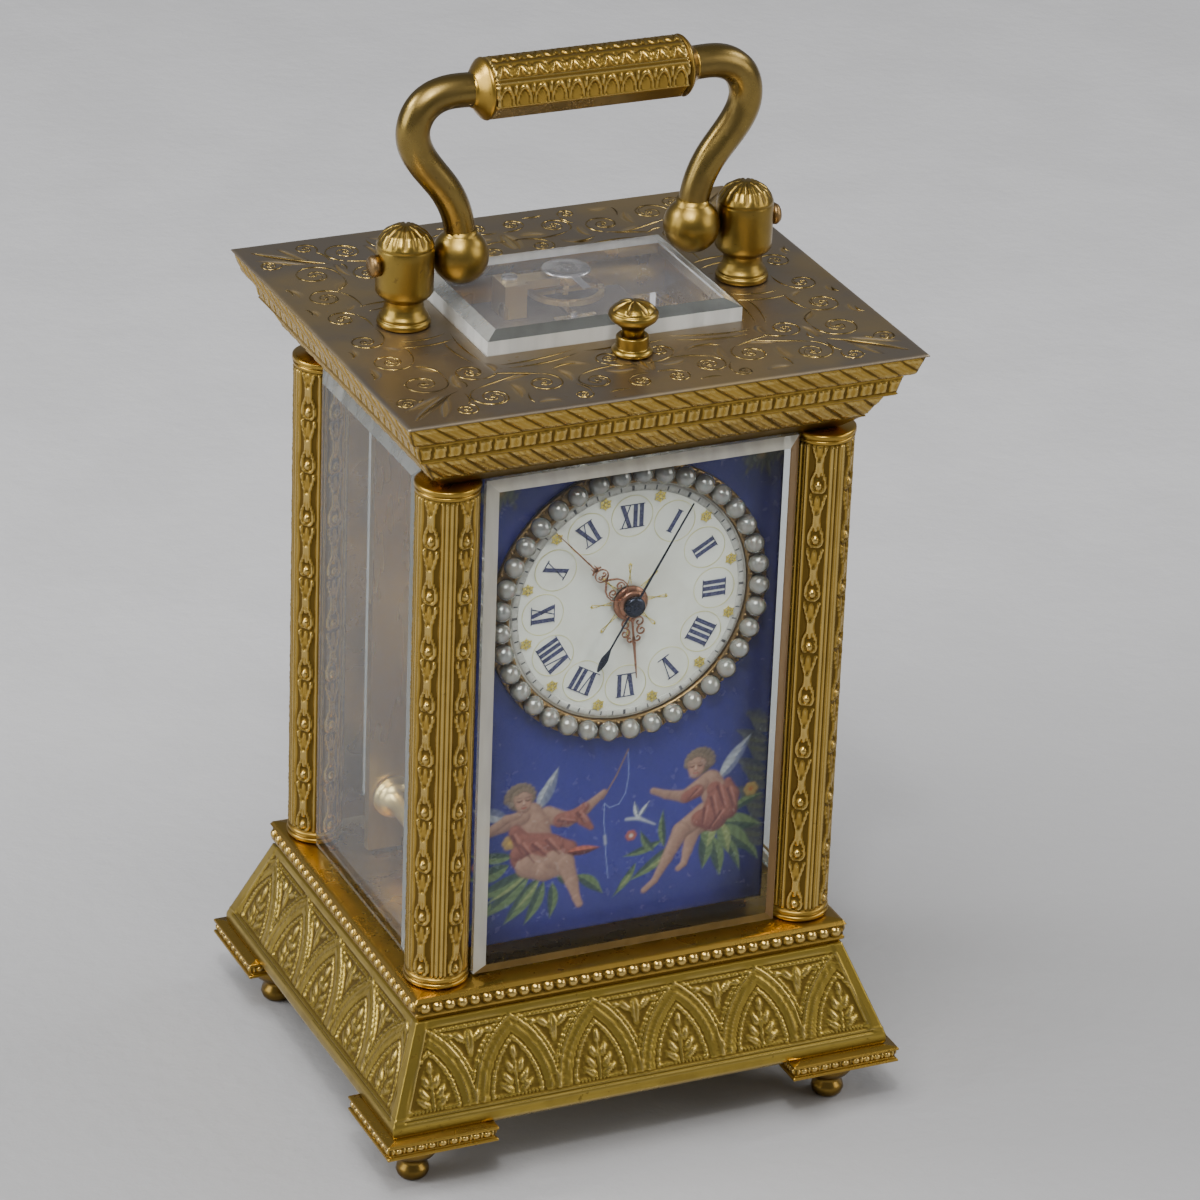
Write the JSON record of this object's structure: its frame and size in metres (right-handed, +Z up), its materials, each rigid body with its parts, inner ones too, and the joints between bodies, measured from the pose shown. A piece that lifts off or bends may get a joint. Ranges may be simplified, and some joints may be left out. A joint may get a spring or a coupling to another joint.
{
  "type": "mantel clock",
  "caption": "Small gilt carriage-type mantel clock with round corner columns, glazed sides, enamel dial set in pearls, bail handle and repeat button.",
  "frame": {"origin": "middle of the footprint, on the surface that the clock stands on", "axes": "+Z up, the dial faces -Y, +X to the right of a viewer who faces the dial"},
  "size_m": [0.0498, 0.044, 0.0975],
  "materials": {
    "gilt_brass": "fire-gilt, cast and chased",
    "engraved_gilt": "gilt, tarnished, engraved",
    "movement_brass": "brushed and lacquered",
    "steel": "polished",
    "blued_steel": "heat blued",
    "copper": "rose gilt",
    "glass": "clear, bevelled",
    "white_enamel": "glossy vitreous enamel",
    "blue_enamel": "glossy painted enamel",
    "pearl": "lustrous"
  },
  "bodies": {
    "case": {"plinth": "gilt_brass", "base_plate": "gilt_brass", "foot_1": "gilt_brass", "foot_2": "gilt_brass", "foot_3": "gilt_brass", "foot_4": "gilt_brass", "column_1": "gilt_brass", "column_2": "gilt_brass", "column_3": "gilt_brass", "column_4": "gilt_brass", "cornice_frame": "gilt_brass", "handle_post_left": "gilt_brass", "handle_post_right": "gilt_brass", "button_bush": "gilt_brass", "top_plate": "engraved_gilt", "bottom_cover": "movement_brass", "front_movement_plate": "movement_brass", "back_movement_plate": "movement_brass", "pillar_1": "movement_brass", "pillar_2": "movement_brass", "pillar_3": "movement_brass", "pillar_4": "movement_brass", "platform_plate": "movement_brass", "balance_cock": "movement_brass", "door_hinge_pin": "steel", "pivot_screw_left": "steel", "pivot_screw_right": "steel", "gong": "blued_steel", "top_glass": "glass", "front_glass": "glass", "left_glass": "glass", "right_glass": "glass", "dial_disc": "white_enamel", "dial_mask": "blue_enamel", "pearl_ring": "pearl"},
    "handle": {"handle_arm_left": "gilt_brass", "handle_arm_right": "gilt_brass", "handle_grip": "gilt_brass"},
    "repeat_button": {"repeat_button": "gilt_brass"},
    "repeat_lever": {"repeat_lever": "steel"},
    "rear_door": {"door_frame": "gilt_brass", "door_glass": "glass", "door_knob": "gilt_brass"},
    "seconds_train": {"seconds_hand": "blued_steel", "fourth_wheel": "movement_brass"},
    "minute_train": {"minute_hand": "copper", "centre_wheel": "movement_brass"},
    "hour_train": {"hour_hand": "copper", "hour_wheel": "movement_brass"},
    "third_wheel": {"third_wheel": "movement_brass"},
    "intermediate_wheel": {"intermediate_wheel": "movement_brass"},
    "going_barrel": {"going_barrel": "movement_brass", "mainspring": "steel"},
    "winding_arbor": {"winding_arbor": "steel"},
    "escape_wheel": {"escape_wheel": "movement_brass"},
    "balance_wheel": {"balance_wheel": "movement_brass"},
    "pallet_lever": {"pallet_lever": "steel"},
    "hammer": {"hammer": "steel"}
  },
  "joints": [
    {"name": "handle_fold", "type": "hinge", "parent": "case", "child": "handle", "pos_m": [0, 0, 0.0801], "axis": [1, 0, 0], "range_deg": [-100, 80]},
    {"name": "repeat_press", "type": "slide", "parent": "case", "child": "repeat_button", "axis": [0, 0, -1], "range_m": [0, 0.0005], "stiffness_N_per_m": 100},
    {"name": "repeat_lever_turn", "type": "hinge", "parent": "case", "child": "repeat_lever", "pos_m": [0.007, -0.0122, 0.069], "axis": [0, 1, 0], "range_deg": [-6, 0]},
    {"name": "door_swing", "type": "hinge", "parent": "case", "child": "rear_door", "pos_m": [0.0139, 0.0161, 0.0423], "axis": [0, 0, -1], "range_deg": [0, 110]},
    {"name": "seconds_turn", "type": "hinge", "parent": "case", "child": "seconds_train", "pos_m": [0, -0.0033, 0.0516], "axis": [0, 1, 0], "continuous": true},
    {"name": "minute_turn", "type": "hinge", "parent": "case", "child": "minute_train", "pos_m": [0, -0.0097, 0.0516], "axis": [0, 1, 0], "continuous": true},
    {"name": "hour_turn", "type": "hinge", "parent": "case", "child": "hour_train", "pos_m": [0, -0.0121, 0.0516], "axis": [0, 1, 0], "continuous": true},
    {"name": "third_wheel_turn", "type": "hinge", "parent": "case", "child": "third_wheel", "pos_m": [0.005, -0.0066, 0.0565], "axis": [0, 1, 0], "continuous": true},
    {"name": "intermediate_wheel_turn", "type": "hinge", "parent": "case", "child": "intermediate_wheel", "pos_m": [-0.0045, -0.0085, 0.043], "axis": [0, 1, 0], "continuous": true},
    {"name": "barrel_turn", "type": "hinge", "parent": "case", "child": "going_barrel", "pos_m": [-0.0005, -0.0063, 0.0343], "axis": [0, 1, 0], "continuous": true},
    {"name": "winding_turn", "type": "hinge", "parent": "case", "child": "winding_arbor", "pos_m": [-0.0005, 0.0147, 0.0343], "axis": [0, 1, 0], "continuous": true},
    {"name": "escape_wheel_turn", "type": "hinge", "parent": "case", "child": "escape_wheel", "pos_m": [0, -0.0015, 0.0696], "axis": [0, 0, 1], "continuous": true},
    {"name": "balance_swing", "type": "hinge", "parent": "case", "child": "balance_wheel", "pos_m": [0.002, 0.0065, 0.0708], "axis": [0, 0, 1], "range_deg": [-135, 135]},
    {"name": "pallet_rock", "type": "hinge", "parent": "case", "child": "pallet_lever", "pos_m": [0.001, 0.0022, 0.07015], "axis": [0, 0, 1], "range_deg": [-6, 6]},
    {"name": "hammer_swing", "type": "hinge", "parent": "case", "child": "hammer", "pos_m": [-0.0105, 0.0106, 0.057], "axis": [0, 1, 0], "range_deg": [0, 15]}
  ],
  "couplings": [
    {"joint": "repeat_lever_turn", "follows": "repeat_press", "rad_per_m": -142.86},
    {"joint": "minute_turn", "follows": "seconds_turn", "ratio": 0.016667},
    {"joint": "hour_turn", "follows": "seconds_turn", "ratio": 0.0013889},
    {"joint": "third_wheel_turn", "follows": "seconds_turn", "ratio": -0.13333},
    {"joint": "intermediate_wheel_turn", "follows": "seconds_turn", "ratio": -0.0041667},
    {"joint": "barrel_turn", "follows": "seconds_turn", "ratio": 0.0006944},
    {"joint": "escape_wheel_turn", "follows": "seconds_turn", "ratio": 10},
    {"joint": "pallet_rock", "follows": "balance_swing", "ratio": -0.044444}
  ]
}
